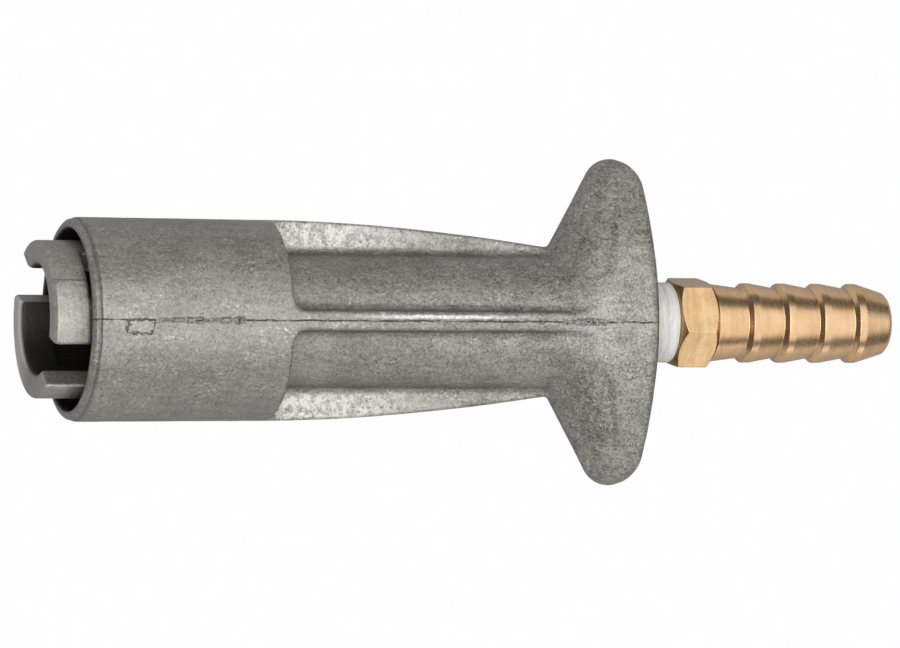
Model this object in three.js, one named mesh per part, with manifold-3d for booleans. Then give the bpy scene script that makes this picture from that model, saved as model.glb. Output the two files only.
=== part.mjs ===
// Outboard-motor fuel connector: a die-cast handle with a push-and-twist bayonet socket at one end
// and a screwed-in hose barb at the other.
// Millimetres. +X runs along the fuel path from the socket to the hose, the grip wings point along
// +Y and -Y, and the origin is the middle of the object.
// Stations are distances behind the front face of the bayonet collar. Clock angles are measured
// about +X, from +Y towards +Z.
import * as THREE from 'three';
import { mergeVertices } from 'three/addons/utils/BufferGeometryUtils.js';
import Module from 'manifold-3d';

const wasm = await Module();
wasm.setup();

// Driving dimensions -------------------------------------------------------------------------
const LENGTH = 120; // collar front face to the end of the hose barb
const GAP = 0.05; // between pieces that touch, and radially between pieces that slide
const ROUND = 36; // facets around the large turned shapes
const ROUND_SMALL = 20; // facets around the small turned shapes
const ROUND_HOLE = 16; // facets around the small drilled holes and the dowels
const OVERCUT = 1; // cutting shapes run past what they cut by this much

const STEM_RADIUS = 7; // the engine-side stem that the socket takes
const PIN_DIAMETER = 5.2; // the cross pin on that stem
const PIN_CLEARANCE = 0.7; // along the branch of a slot

const SHROUD = { front: 4.5, rear: 31.9, radius: 13.5, rearRadius: 13.35, bore: 12, lip: 1 };
const CORE_RADIUS = 9.1; // round body between the ribs
const RIB = { width: 2.8, rearRadius: 10.05, neck: 71, root: 78 };
const RIB_OVERLAP = 3; // the ribs run this far into the shroud
const WING = { tipStation: 80.3, halfSpan: 22.1, tipRadius: 4, slope: 27.7, neckFillet: 1.4, rearFlat: 1.5,
  hubHalf: 10, // half the thickness on the axis
  vanish: 24 }; // distance from the axis at which the thickness would fall to nothing
const CASTING_REAR = 84.4; // middle of the rear face
const REAR_DRAFT = 0.3; // the rear face leans forward by this much towards each wing tip

const COLLAR = { radius: 10.6, bore: STEM_RADIUS + 0.2, chamfer: 0.5, boreRear: 20 };
const FLANGE = { front: 21.2, rear: 24, radius: 11.8 };
const SPIGOT = { radius: 9.9, rear: 30 };
// Clock angles of one slot; the other is half a turn away. One side wall is radial and the other
// leans, from one angle at the socket to another at the collar's outside.
const SLOT = { radialWall: 108.6, leaningInner: 156, leaningOuter: 146 };
const LOCK_TURN = 75; // degrees from the radial wall to the closed end of the branch
const FINGER = 5.1; // length of the fingers that close the slots at the front
const BRANCH = { front: FINGER, rear: FINGER + PIN_DIAMETER + PIN_CLEARANCE, detent: 0.3, detentAngle: 40 };

const RING = { front: 19.8, rear: 21, outer: 12.55, inner: 10.9, opening: 30, clearance: 0.15 };
const DOWEL = { radius: 0.75, pitch: 10.85, front: FLANGE.front + 0.2, rear: 28 };

const CHAMBER = { radius: 7.6, rear: 58 };
const FUEL_BORE = 4;

const PLUNGER = { front: 16, radius: 6.35, lead: 0.5, flangeFront: 30.1, flangeRadius: 7.5, rear: 36.4 };
const PLUNGER_SPRING = { pitch: 6.7, wire: 0.6, turns: 6, stepsPerTurn: 12 };
const ORING_GROOVE = { front: 32.2, rear: 34.4, radius: 5.8 };
const FACE_GROOVE = { inner: 3.6, outer: 5.6, rear: 17.8 };
const PORT = { radius: 2.4, seatFront: 19, seatRear: 20.5 };
const VALVE_CHAMBER = 4.4;
const CLIP_GROOVE = { front: 34.9, rear: 35.7, radius: 4.9 };
const CLIP = { inner: 3.7, clearance: 0.1, opening: 50 };
const FACE_SEAL_PROUD = 0.6;

const POPPET = { front: 16.2, pin: 1.2, neckFront: 18.9, neck: 1.95, headFront: 20.55, head: 3.6,
  headRear: 22.2, tail: 1.2, rear: 36 };
const POPPET_RING = { station: 19.93, pitch: 2.6, section: 0.6 };
const RETAINER = { front: 33.4, rear: 34.8, hole: 0.7, holePitch: 3.1, holes: 6 };
const VALVE_SPRING = { pitch: 1.95, wire: 0.28, turns: 6, stepsPerTurn: 10 };

const THREAD = { front: 75.5, radius: 4.75, rearRadius: 5.08, lead: 0.4, relief: 1.5 };
const TAPE = { front: 78, film: 0.15, radius: 5.5 };
const HEX = { front: 88.75, rear: 94.45, acrossFlats: 11.11, cornerAngle: 41, setback: 0.85, inset: 0.45 };
const BARB = { crest: 5.4, root: 4.73, end: 4.2, endRound: 0.6, land: 0.9, step: 0.6, bore: 3.1,
  crests: 4, first: 5.05, pitch: 5.13 }; // first is measured from the hexagon's rear face

// Materials ----------------------------------------------------------------------------------
const finish = (color, roughness, metalness) =>
  new THREE.MeshStandardMaterial({ color, roughness, metalness });
const castMetal = finish(0x8c8c87, 0.55, 0.8);
const castCollar = finish(0x9a9a94, 0.45, 0.85);
const springSteel = finish(0x9da1a6, 0.3, 1);
const brass = finish(0xc99555, 0.35, 1);
const rubber = finish(0x1b1b1b, 0.8, 0);
const tapeWhite = finish(0xf0f0ee, 0.7, 0);

// Solid tools --------------------------------------------------------------------------------

/** Turns closed three.js geometry into a manifold solid with its faces pointing out. */
function solid(geometry) {
  const bare = geometry.clone();
  bare.deleteAttribute('normal');
  bare.deleteAttribute('uv');
  const merged = mergeVertices(bare, 1e-4);
  const vertices = new Float32Array(merged.attributes.position.array);
  const index = merged.index.array;
  const triangles = [];
  for (let i = 0; i < index.length; i += 3) {
    const [a, b, c] = [index[i], index[i + 1], index[i + 2]];
    if (a !== b && b !== c && c !== a) triangles.push(a, b, c);
  }
  if (signedVolume(vertices, triangles) < 0) triangles.reverse();
  const triVerts = new Uint32Array(triangles);
  return new wasm.Manifold(new wasm.Mesh({ numProp: 3, vertProperties: vertices, triVerts }));
}

function signedVolume(vertices, triangles) {
  const corner = (n) => new THREE.Vector3().fromArray(vertices, 3 * n);
  let volume = 0;
  for (let i = 0; i < triangles.length; i += 3) {
    const [a, b, c] = [0, 1, 2].map((k) => corner(triangles[i + k]));
    volume += a.dot(b.cross(c)) / 6;
  }
  return volume;
}

/** Turns a manifold solid back into three.js geometry. */
function geometryOf(manifold) {
  const mesh = manifold.getMesh();
  const geometry = new THREE.BufferGeometry();
  geometry.setAttribute('position', new THREE.BufferAttribute(mesh.vertProperties, 3));
  geometry.setIndex(new THREE.BufferAttribute(mesh.triVerts, 1));
  geometry.computeVertexNormals();
  return geometry;
}

/** Revolves [station, radius] points about the X axis. */
function revolve(profile, facets = ROUND_SMALL) {
  const points = profile.map(([station, radius]) => new THREE.Vector2(radius, station));
  return solid(new THREE.LatheGeometry(points, facets).rotateZ(-Math.PI / 2));
}

/** Revolves a closed loop of [station, radius] points, which keeps clear of the axis. */
const revolveLoop = (loop, facets) => revolve([...loop, loop[0]], facets);

/** A tube between two stations. */
const tube = (front, rear, inner, outer, facets) =>
  revolveLoop([[front, inner], [front, outer], [rear, outer], [rear, inner]], facets);

/** A round bar along X. */
const bar = (front, rear, radius, facets) =>
  revolve([[front, 0], [front, radius], [rear, radius], [rear, 0]], facets);

/** Points of an arc in [station, radius] space, angles in degrees from the station axis. */
function arc(station, radius, size, from, to, steps = 5) {
  return Array.from({ length: steps + 1 }, (_, i) => {
    const angle = THREE.MathUtils.degToRad(from + ((to - from) * i) / steps);
    return [station + size * Math.cos(angle), radius + size * Math.sin(angle)];
  });
}

/** A block that fills the ring between two radii over a range of clock angles. */
function ringSector(inner, outer, fromAngle, toAngle, front, rear) {
  const [from, to] = [fromAngle, toAngle].map(THREE.MathUtils.degToRad);
  const shape = new THREE.Shape();
  shape.absarc(0, 0, outer, from, to, false);
  shape.absarc(0, 0, inner, to, from, true);
  shape.closePath();
  return alongX(shape, front, rear);
}

/** Extrudes a shape drawn in the YZ plane from one station to another. */
function alongX(shape, front, rear) {
  const options = { depth: rear - front, bevelEnabled: false, curveSegments: 12 };
  const geometry = new THREE.ExtrudeGeometry(shape, options);
  const axes = new THREE.Matrix4().makeBasis(
    new THREE.Vector3(0, 1, 0), new THREE.Vector3(0, 0, 1), new THREE.Vector3(1, 0, 0));
  return solid(geometry.applyMatrix4(axes).translate(front, 0, 0));
}

/** Extrudes an outline of [x, y] points to a thickness centred on the XY plane. */
function plate(outline, thickness) {
  const shape = new THREE.Shape(outline.map(([x, y]) => new THREE.Vector2(x, y)));
  const geometry = new THREE.ExtrudeGeometry(shape, { depth: thickness, bevelEnabled: false });
  return solid(geometry.translate(0, 0, -thickness / 2));
}

/** A point at a distance from the axis and an angle in degrees. */
function polar(radius, degrees) {
  const angle = THREE.MathUtils.degToRad(degrees);
  return new THREE.Vector2(radius * Math.cos(angle), radius * Math.sin(angle));
}

/** Corners of a regular polygon, the first one at an angle in degrees. */
const regular = (sides, radius, firstAngle) =>
  Array.from({ length: sides }, (_, i) => polar(radius, firstAngle + (360 / sides) * i));

/** The outline of a shape that is the same on both sides of the X axis. */
const mirrored = (upper) => [...upper, ...upper.map(([x, y]) => [x, -y]).reverse()];

/** A small bar along X at a clock angle and a distance from the axis. */
const offsetBar = (front, rear, radius, pitch, angle) =>
  bar(front, rear, radius, ROUND_HOLE).translate([
    0,
    pitch * Math.cos(THREE.MathUtils.degToRad(angle)),
    pitch * Math.sin(THREE.MathUtils.degToRad(angle)),
  ]);

/** Radius between the shroud and the neck along the crest of a rib. */
function ribRadius(station) {
  const t = (station - SHROUD.rear) / (RIB.neck - SHROUD.rear);
  const crest = SHROUD.rearRadius - 0.1;
  return crest - (crest - RIB.rearRadius) * t ** 1.75;
}

// Body casting -------------------------------------------------------------------------------

function castingSkin() {
  const { front, rear, radius, rearRadius, lip } = SHROUD;
  return revolve([
    [front, 0],
    ...arc(front + lip, radius - lip, lip, 180, 90),
    [rear, rearRadius],
    [rear, CORE_RADIUS],
    [CASTING_REAR, CORE_RADIUS],
    [CASTING_REAR, 0],
  ], ROUND);
}

function ribs() {
  const front = SHROUD.rear - RIB_OVERLAP;
  const steps = 10;
  const crest = Array.from({ length: steps + 1 }, (_, i) => {
    const station = SHROUD.rear + ((RIB.neck - SHROUD.rear) * i) / steps;
    return [station, ribRadius(station)];
  });
  const outline = mirrored([[front, ribRadius(SHROUD.rear)], ...crest, [RIB.root, RIB.rearRadius]]);
  const upright = plate(outline, RIB.width);
  return upright.add(upright.rotate([90, 0, 0]));
}

/** The grip wings: a tapered plan outline, thinning from the hub to both tips. */
function wings() {
  const { tipStation, halfSpan, tipRadius, slope, neckFillet, rearFlat, hubHalf, vanish } = WING;
  const tip = arc(tipStation, halfSpan - tipRadius, tipRadius, 180 - slope, 0, 8);
  const [tangentStation, tangentRadius] = tip[0];
  const rise = Math.tan(THREE.MathUtils.degToRad(slope));
  const neckStation = tangentStation - (tangentRadius - RIB.rearRadius) * rise;
  const rearDepth = (CASTING_REAR - REAR_DRAFT - tipStation) / tipRadius;
  const squashed = ([x, y]) => [x > tipStation ? tipStation + (x - tipStation) * rearDepth : x, y];
  const plan = mirrored([
    [neckStation - neckFillet, 0],
    [neckStation - neckFillet, RIB.rearRadius - neckFillet / 2],
    [neckStation + neckFillet / 3, RIB.rearRadius + neckFillet / 2],
    ...tip.map(squashed),
    [CASTING_REAR, rearFlat],
  ]);
  const steps = 10;
  const endOn = mirrored(Array.from({ length: steps + 1 }, (_, i) => {
    const y = halfSpan * ((2 * i) / steps - 1);
    return [y, hubHalf * (1 - (y / vanish) ** 2)];
  }));
  const shape = new THREE.Shape(endOn.map(([y, z]) => new THREE.Vector2(y, z)));
  const thickness = alongX(shape, neckStation - 2 * neckFillet, CASTING_REAR + OVERCUT);
  return plate(plan, 2 * hubHalf).intersect(thickness);
}

/** Everything that is hollow inside the casting, from the socket to the pipe thread. */
function castingBores() {
  const threadFront = THREAD.front - THREAD.relief;
  const threadClearance = TAPE.film + 2 * GAP;
  return revolve([
    [SHROUD.front - OVERCUT, 0],
    [SHROUD.front - OVERCUT, SHROUD.bore],
    [FLANGE.rear, SHROUD.bore],
    [FLANGE.rear, SPIGOT.radius + GAP],
    [SPIGOT.rear, SPIGOT.radius + GAP],
    [SPIGOT.rear, CHAMBER.radius],
    [CHAMBER.rear, CHAMBER.radius],
    [CHAMBER.rear, FUEL_BORE],
    [threadFront, FUEL_BORE],
    [threadFront, THREAD.radius + threadClearance],
    [CASTING_REAR + OVERCUT, THREAD.rearRadius + threadClearance],
    [CASTING_REAR + OVERCUT, 0],
  ], ROUND);
}

function bodyCasting() {
  const ringGroove = tube(RING.front - RING.clearance, RING.rear + RING.clearance,
    SHROUD.bore - OVERCUT, RING.outer + GAP, ROUND);
  let casting = castingSkin().add(ribs()).add(wings()).subtract(castingBores()).subtract(ringGroove);
  for (const angle of [0, 180]) {
    casting = casting.subtract(dowelHole(angle, DOWEL.rear + GAP));
  }
  return casting;
}

const dowelHole = (angle, rear) =>
  offsetBar(FLANGE.front - OVERCUT, rear, DOWEL.radius + GAP, DOWEL.pitch, angle);

// Bayonet collar and what holds it -----------------------------------------------------------

/** The open mouth of a slot, between its radial wall and its leaning wall. */
function slotMouth(turn) {
  const radialWall = SLOT.radialWall + turn;
  const leaningInner = polar(COLLAR.bore, SLOT.leaningInner + turn);
  const leaningOuter = polar(COLLAR.radius, SLOT.leaningOuter + turn);
  const past = leaningOuter.clone().sub(leaningInner).setLength(OVERCUT);
  const outline = new THREE.Shape([
    polar(COLLAR.bore - OVERCUT, radialWall),
    polar(COLLAR.radius + OVERCUT, radialWall),
    leaningOuter.clone().add(past),
    leaningInner.clone().sub(past),
  ]);
  return alongX(outline, -OVERCUT, BRANCH.rear);
}

/** One J-shaped slot: an open mouth, a branch behind the finger and a detent at its end. */
function jSlot(turn) {
  const [inner, outer] = [COLLAR.bore - OVERCUT, COLLAR.radius + OVERCUT];
  const lockEnd = SLOT.radialWall - LOCK_TURN + turn;
  const insideMouth = (SLOT.radialWall + SLOT.leaningOuter) / 2 + turn;
  const mouth = slotMouth(turn);
  const branch = ringSector(inner, outer, lockEnd, insideMouth, BRANCH.front, BRANCH.rear);
  const detent = ringSector(inner, outer, lockEnd, lockEnd + BRANCH.detentAngle,
    BRANCH.front - BRANCH.detent, BRANCH.rear);
  return mouth.add(branch).add(detent);
}

function bayonetCollar() {
  const { radius, bore, chamfer, boreRear } = COLLAR;
  const plungerBore = PLUNGER.radius + GAP;
  const rear = SPIGOT.rear - GAP;
  let collar = revolveLoop([
    [0, bore + chamfer],
    [0, radius - chamfer],
    [chamfer, radius],
    [FLANGE.front, radius],
    [FLANGE.front, FLANGE.radius],
    [FLANGE.rear - GAP, FLANGE.radius],
    [FLANGE.rear - GAP, SPIGOT.radius],
    [rear, SPIGOT.radius],
    [rear, plungerBore],
    [boreRear, plungerBore],
    [boreRear, bore],
    [chamfer, bore],
  ], ROUND);
  for (const turn of [0, 180]) {
    collar = collar.subtract(jSlot(turn)).subtract(dowelHole(turn, FLANGE.rear + OVERCUT));
  }
  return collar;
}

/** Internal snap ring that keeps the collar flange against its step. */
function collarRetainingRing() {
  const { front, rear, inner, outer, opening } = RING;
  return ringSector(inner, outer, -90 + opening / 2, 270 - opening / 2, front, rear);
}

const collarDowel = (angle) =>
  offsetBar(DOWEL.front, DOWEL.rear, DOWEL.radius, DOWEL.pitch, angle);

// Sprung seal and check valve ----------------------------------------------------------------

function sealPlunger() {
  const { front, radius, lead, flangeFront, flangeRadius, rear } = PLUNGER;
  const body = revolveLoop([
    [front, PORT.radius],
    [front, radius - lead],
    [front + lead, radius],
    [flangeFront, radius],
    [flangeFront, flangeRadius],
    [ORING_GROOVE.front, flangeRadius],
    [ORING_GROOVE.front, ORING_GROOVE.radius],
    [ORING_GROOVE.rear, ORING_GROOVE.radius],
    [ORING_GROOVE.rear, flangeRadius],
    [rear, flangeRadius],
    [rear, VALVE_CHAMBER],
    [CLIP_GROOVE.rear, VALVE_CHAMBER],
    [CLIP_GROOVE.rear, CLIP_GROOVE.radius],
    [CLIP_GROOVE.front, CLIP_GROOVE.radius],
    [CLIP_GROOVE.front, VALVE_CHAMBER],
    [PORT.seatRear, VALVE_CHAMBER],
    [PORT.seatFront, PORT.radius],
  ], ROUND);
  const faceGroove = tube(front - OVERCUT, FACE_GROOVE.rear, FACE_GROOVE.inner, FACE_GROOVE.outer, ROUND);
  return body.subtract(faceGroove);
}

/** Rubber washer with a rounded face that the engine stem presses on. */
function faceSeal() {
  const [inner, outer] = [FACE_GROOVE.inner + GAP, FACE_GROOVE.outer - GAP];
  const crown = (outer - inner) / 2;
  const face = PLUNGER.front - FACE_SEAL_PROUD + crown;
  return revolveLoop([
    ...arc(face, inner + crown, crown, 270, 90),
    [FACE_GROOVE.rear - GAP, outer],
    [FACE_GROOVE.rear - GAP, inner],
  ], ROUND);
}

/** A rubber ring of round section. */
const oRing = (station, pitch, section, facets) =>
  revolveLoop(arc(station, pitch, section, 0, 360, 8).slice(0, -1), facets);

function plungerORing() {
  const { front, rear, radius } = ORING_GROOVE;
  const section = (CHAMBER.radius - radius) / 2 - GAP;
  return oRing((front + rear) / 2, radius + GAP + section, section, ROUND);
}

/** A helical wire spring between two stations. */
function coilSpring({ front, rear, pitch, wire, turns, stepsPerTurn }) {
  const helix = new THREE.Curve();
  const travel = rear - front - 2 * wire;
  helix.getPoint = (t, target = new THREE.Vector3()) => {
    const angle = 2 * Math.PI * turns * t;
    return target.set(front + wire + travel * t, pitch * Math.cos(angle), pitch * Math.sin(angle));
  };
  helix.getPointAt = helix.getPoint;
  const section = new THREE.Shape(regular(6, wire, 0));
  const options = { steps: turns * stepsPerTurn, bevelEnabled: false, extrudePath: helix };
  return solid(new THREE.ExtrudeGeometry(section, options));
}

const plungerSpring = () =>
  coilSpring({ ...PLUNGER_SPRING, front: PLUNGER.rear + GAP, rear: CHAMBER.rear - GAP });

const valveSpring = () =>
  coilSpring({ ...VALVE_SPRING, front: POPPET.headRear + GAP, rear: RETAINER.front - GAP });

function valvePoppet() {
  const { front, pin, neckFront, neck, headFront, head, headRear, tail, rear } = POPPET;
  return revolve([
    [front, 0],
    [front, pin],
    [neckFront, pin],
    [neckFront, neck],
    [headFront, neck],
    [headFront, head],
    [headRear, head],
    [headRear, tail],
    [rear, tail],
    [rear, 0],
  ]);
}

const poppetORing = () =>
  oRing(POPPET_RING.station, POPPET_RING.pitch, POPPET_RING.section, ROUND_SMALL);

/** Drilled disc that guides the poppet's tail and backs its spring. */
function valveSpringRetainer() {
  const { front, rear, hole, holePitch, holes } = RETAINER;
  let disc = tube(front, rear, POPPET.tail + GAP, VALVE_CHAMBER - GAP);
  for (let i = 0; i < holes; i += 1) {
    disc = disc.subtract(offsetBar(front - OVERCUT, rear + OVERCUT, hole, holePitch, (360 / holes) * i));
  }
  return disc;
}

function retainerClip() {
  const { inner, clearance, opening } = CLIP;
  const outer = CLIP_GROOVE.radius - clearance;
  const [front, rear] = [CLIP_GROOVE.front + GAP, CLIP_GROOVE.rear - GAP];
  return ringSector(inner, outer, opening / 2, 360 - opening / 2, front, rear);
}

// Hose fitting -------------------------------------------------------------------------------

/** Profile of the hose barbs: each crest steps up on the hexagon side and tapers to the next. */
function barbProfile() {
  const { crest, root, end, endRound, land, step, crests, first, pitch } = BARB;
  const points = [[HEX.rear, crest]];
  for (let i = 0; i < crests; i += 1) {
    const station = HEX.rear + first + pitch * i;
    points.push([station - step, root], [station, crest], [station + land, crest]);
  }
  return [...points, ...arc(LENGTH - endRound, end - endRound, endRound, 75, 0, 3)];
}

function hoseBarbFitting() {
  const turned = revolveLoop([
    [THREAD.front, BARB.bore],
    [THREAD.front, THREAD.radius - THREAD.lead],
    [THREAD.front + THREAD.lead, THREAD.radius],
    [CASTING_REAR, THREAD.rearRadius],
    [HEX.front, THREAD.rearRadius],
    ...barbProfile(),
    [LENGTH, BARB.bore],
  ], ROUND);
  return turned.add(hexagon());
}

/** The spanner hexagon, with its corners turned back at both ends. */
function hexagon() {
  const { front, rear, acrossFlats, cornerAngle, setback, inset } = HEX;
  const flat = acrossFlats / 2;
  const corner = flat / Math.cos(Math.PI / 6);
  const chamfers = revolve([
    [front, 0],
    [front, flat - inset],
    [front + setback, corner],
    [rear - setback, corner],
    [rear, flat - inset],
    [rear, 0],
  ], ROUND + ROUND_SMALL);
  const outline = new THREE.Shape(regular(6, corner, cornerAngle));
  const block = alongX(outline, front, rear).intersect(chamfers);
  return block.subtract(bar(front - OVERCUT, rear + OVERCUT, BARB.bore + OVERCUT / 2, ROUND));
}

/** Sealing tape wound on the thread: a film inside the casting, thicker where it stands out. */
function threadTape() {
  const slope = (THREAD.rearRadius - THREAD.radius) / (CASTING_REAR - THREAD.front - THREAD.lead);
  const inner = THREAD.rearRadius + GAP;
  const innerFront = inner - slope * (CASTING_REAR - TAPE.front);
  return revolveLoop([
    [TAPE.front, innerFront],
    [TAPE.front, innerFront + TAPE.film],
    [CASTING_REAR, inner + TAPE.film],
    [CASTING_REAR + GAP, TAPE.radius],
    [HEX.front - GAP, TAPE.radius],
    [HEX.front - GAP, inner],
    [CASTING_REAR, inner],
  ], ROUND);
}

// Assembly -----------------------------------------------------------------------------------

const assembly = new THREE.Group();
assembly.position.x = -LENGTH / 2;

function place(name, manifold, material) {
  const mesh = new THREE.Mesh(geometryOf(manifold), material);
  mesh.name = name;
  assembly.add(mesh);
}

place('body_casting', bodyCasting(), castMetal);
place('bayonet_collar', bayonetCollar(), castCollar);
place('collar_retaining_ring', collarRetainingRing(), springSteel);
place('collar_dowel_upper', collarDowel(0), springSteel);
place('collar_dowel_lower', collarDowel(180), springSteel);
place('seal_plunger', sealPlunger(), brass);
place('face_seal', faceSeal(), rubber);
place('plunger_o_ring', plungerORing(), rubber);
place('plunger_spring', plungerSpring(), springSteel);
place('valve_poppet', valvePoppet(), brass);
place('poppet_o_ring', poppetORing(), rubber);
place('valve_spring', valveSpring(), springSteel);
place('valve_spring_retainer', valveSpringRetainer(), brass);
place('retainer_clip', retainerClip(), springSteel);
place('hose_barb_fitting', hoseBarbFitting(), brass);
place('thread_tape', threadTape(), tapeWhite);

const fuelConnector = new THREE.Group();
fuelConnector.add(assembly);
export default fuelConnector;
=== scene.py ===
"""Outboard fuel-line connector: die-cast handle, bayonet collar, sprung valve and hose barb.

Shapes are worked out in millimetres in the connector's own terms: a station is a distance behind
the front face of the bayonet collar, and a clock angle turns about the fuel axis from the upper
wing (+Y) towards the side that faces up (+Z). Cast pieces are smooth distance fields turned into
meshes; turned pieces are profiles spun about the axis.
"""
import math

import bpy
import numpy as np
from mathutils import Matrix, Vector


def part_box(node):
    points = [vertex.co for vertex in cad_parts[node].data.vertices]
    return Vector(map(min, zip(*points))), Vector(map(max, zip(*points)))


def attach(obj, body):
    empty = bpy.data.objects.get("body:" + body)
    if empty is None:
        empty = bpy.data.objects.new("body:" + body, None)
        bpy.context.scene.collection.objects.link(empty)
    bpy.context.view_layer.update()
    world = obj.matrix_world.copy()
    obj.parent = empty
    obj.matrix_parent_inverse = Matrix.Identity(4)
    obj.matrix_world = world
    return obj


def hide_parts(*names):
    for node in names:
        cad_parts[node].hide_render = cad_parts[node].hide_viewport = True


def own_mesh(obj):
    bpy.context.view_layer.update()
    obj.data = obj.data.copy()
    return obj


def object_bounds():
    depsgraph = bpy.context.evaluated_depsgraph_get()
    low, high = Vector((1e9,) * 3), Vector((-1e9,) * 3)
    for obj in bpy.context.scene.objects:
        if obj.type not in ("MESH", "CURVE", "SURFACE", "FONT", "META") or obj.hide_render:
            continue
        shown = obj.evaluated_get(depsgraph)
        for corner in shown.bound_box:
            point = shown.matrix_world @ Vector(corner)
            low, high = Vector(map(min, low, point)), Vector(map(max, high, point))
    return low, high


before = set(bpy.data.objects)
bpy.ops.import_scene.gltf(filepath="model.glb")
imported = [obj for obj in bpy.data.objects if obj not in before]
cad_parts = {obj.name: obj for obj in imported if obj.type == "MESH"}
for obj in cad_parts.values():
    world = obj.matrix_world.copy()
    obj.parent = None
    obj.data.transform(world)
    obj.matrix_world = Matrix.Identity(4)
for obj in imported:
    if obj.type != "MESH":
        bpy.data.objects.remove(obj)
cad_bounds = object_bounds()

MM = 0.001


def extent(node):
    """Lowest and highest corner of a CAD node, in millimetres, with x measured as a station."""
    low, high = (np.array(corner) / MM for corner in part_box(node))
    low[0] -= FRONT
    high[0] -= FRONT
    return low, high


# Driving sizes: the outer ones come from the frame ------------------------------------------------
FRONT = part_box("bayonet_collar")[0].x / MM
CASTING_LOW, CASTING_HIGH = extent("body_casting")
COLLAR_LOW, COLLAR_HIGH = extent("bayonet_collar")
PLUNGER_LOW, PLUNGER_HIGH = extent("seal_plunger")
FITTING_LOW, FITTING_HIGH = extent("hose_barb_fitting")
TAPE_LOW, TAPE_HIGH = extent("thread_tape")

SHROUD_FRONT = CASTING_LOW[0]
SHROUD_RADIUS = CASTING_HIGH[2]
SHROUD_REAR = 31.9
SHROUD_DRAFT = 0.15  # the shroud is this much smaller in radius at its rear
CAVITY_RADIUS = SHROUD_RADIUS - 1.5
CAVITY_REAR = 24.0
LIP_LENGTH = 0.85  # from the shroud's front to the crease behind its rounded lip
CREASE_RADIUS = 0.16
CORE_FRONT = 20.0
CORE_RADIUS = 9.1
RIB_HALF = 1.25
RIB_SIDE_DRAFT = 0.045
RIB_ROOT = 75.0  # the ribs end inside the wings at this station
RIB_END_RADIUS = 10.05
NECK = 71.0
CASTING_REAR = CASTING_HIGH[0]
REAR_DRAFT = 0.3  # the rear face leans forward by this much towards each wing tip
WING_SPAN = CASTING_HIGH[1]
WING_TIP_RADIUS = 4.0
WING_TIP_STATION = 80.3
WING_SLOPE = math.radians(27.7)
HUB_HALF = 10.0  # half the thickness of the wings at the axis
WING_VANISH = 24.0  # distance from the axis at which that thickness would fall to nothing
WING_FRONT_ROUNDING = 11.0
WING_BACK_ROUNDING = 1.6
ROUNDING_CHANGE = 76.5  # the rounding changes from front to back over a length behind this station
ROUNDING_RUN = 6.0
INNER_BORES = [  # front station, rear station and radius
    (20.0, 30.0, 9.95),  # seat of the collar's spigot
    (29.0, 58.0, 7.6),  # valve chamber
    (57.0, 75.0, 4.0),  # fuel passage
]
THREAD_FRONT = 74.0
THREAD_FRONT_RADIUS = 5.0
THREAD_TAPER = 0.03
RING_GROOVE_STATION = 20.4
RING_GROOVE_HALF = 0.75
RING_GROOVE_DEPTH = 0.6
COLLAR_RADIUS = 10.6
SOCKET_RADIUS = 7.2
SOCKET_REAR = 20.0
SOCKET_LEAD_IN = 0.55
COLLAR_TUBE_REAR = 23.0
FLANGE_RADIUS = 11.8
FLANGE_STATION = 22.6
FLANGE_HALF = 1.35
SPIGOT_FRONT = 22.0
SPIGOT_RADIUS = 9.9
PLUNGER_BORE_FRONT = 19.0
PLUNGER_BORE_RADIUS = 6.4
SLOT_RADIAL_WALL = math.radians(108.6)  # clock angle; the other slot is half a turn away
SLOT_LEANING_INNER = math.radians(156)  # the slot's other wall leans between these two clock angles
SLOT_LEANING_OUTER = math.radians(146)
LOCK_TURN = math.radians(75)  # from the radial wall to the closed end of the branch
PAD_TURN = math.radians(48)  # from the radial wall to the other end of the raised pad beside it
BRANCH_FRONT = 5.1
BRANCH_REAR = 11.0
DETENT = 0.3  # depth of the hollow that the pin drops into
DETENT_TURN = math.radians(40)
PAD_HEIGHT = 0.17
PAD_FRONT = 0.25

# Marks left by the die: stations and distances across, from front to back and from low to high
SHROUD_FLASH = (13.5, 24.5)
HUB_FLASH = (70.5, 76.5)
# Where a painted highlight runs beside the seam: its stations, and its distances across.
SEAM_HIGHLIGHT = (48, 58)
SEAM_HIGHLIGHT_ACROSS = (0.42, 0.72)
GATE = (9.2, 12.4)
GATE_ACROSS = (-1.6, -0.1)


# Mesh tools ----------------------------------------------------------------------------------

def add_mesh(name, points_mm, faces, smooth_angle=None):
    """Makes a mesh object from points given as station, y and z in millimetres."""
    points = (np.asarray(points_mm, float) + [FRONT, 0, 0]) * MM
    mesh = bpy.data.meshes.new(name)
    mesh.from_pydata(points.tolist(), [], [list(map(int, face)) for face in faces])
    mesh.validate()
    mesh.shade_smooth()
    if smooth_angle is not None:
        mesh.set_sharp_from_angle(angle=smooth_angle)
    piece = bpy.data.objects.new(name, mesh)
    bpy.context.scene.collection.objects.link(piece)
    return piece


def smooth_min(a, b, k):
    """The smaller of two distances, blended where they differ by less than k."""
    h = np.maximum(k - np.abs(a - b), 0) / k
    return np.minimum(a, b) - h * h * k / 4


def smooth_max(a, b, k):
    return -smooth_min(-a, -b, k)


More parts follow.
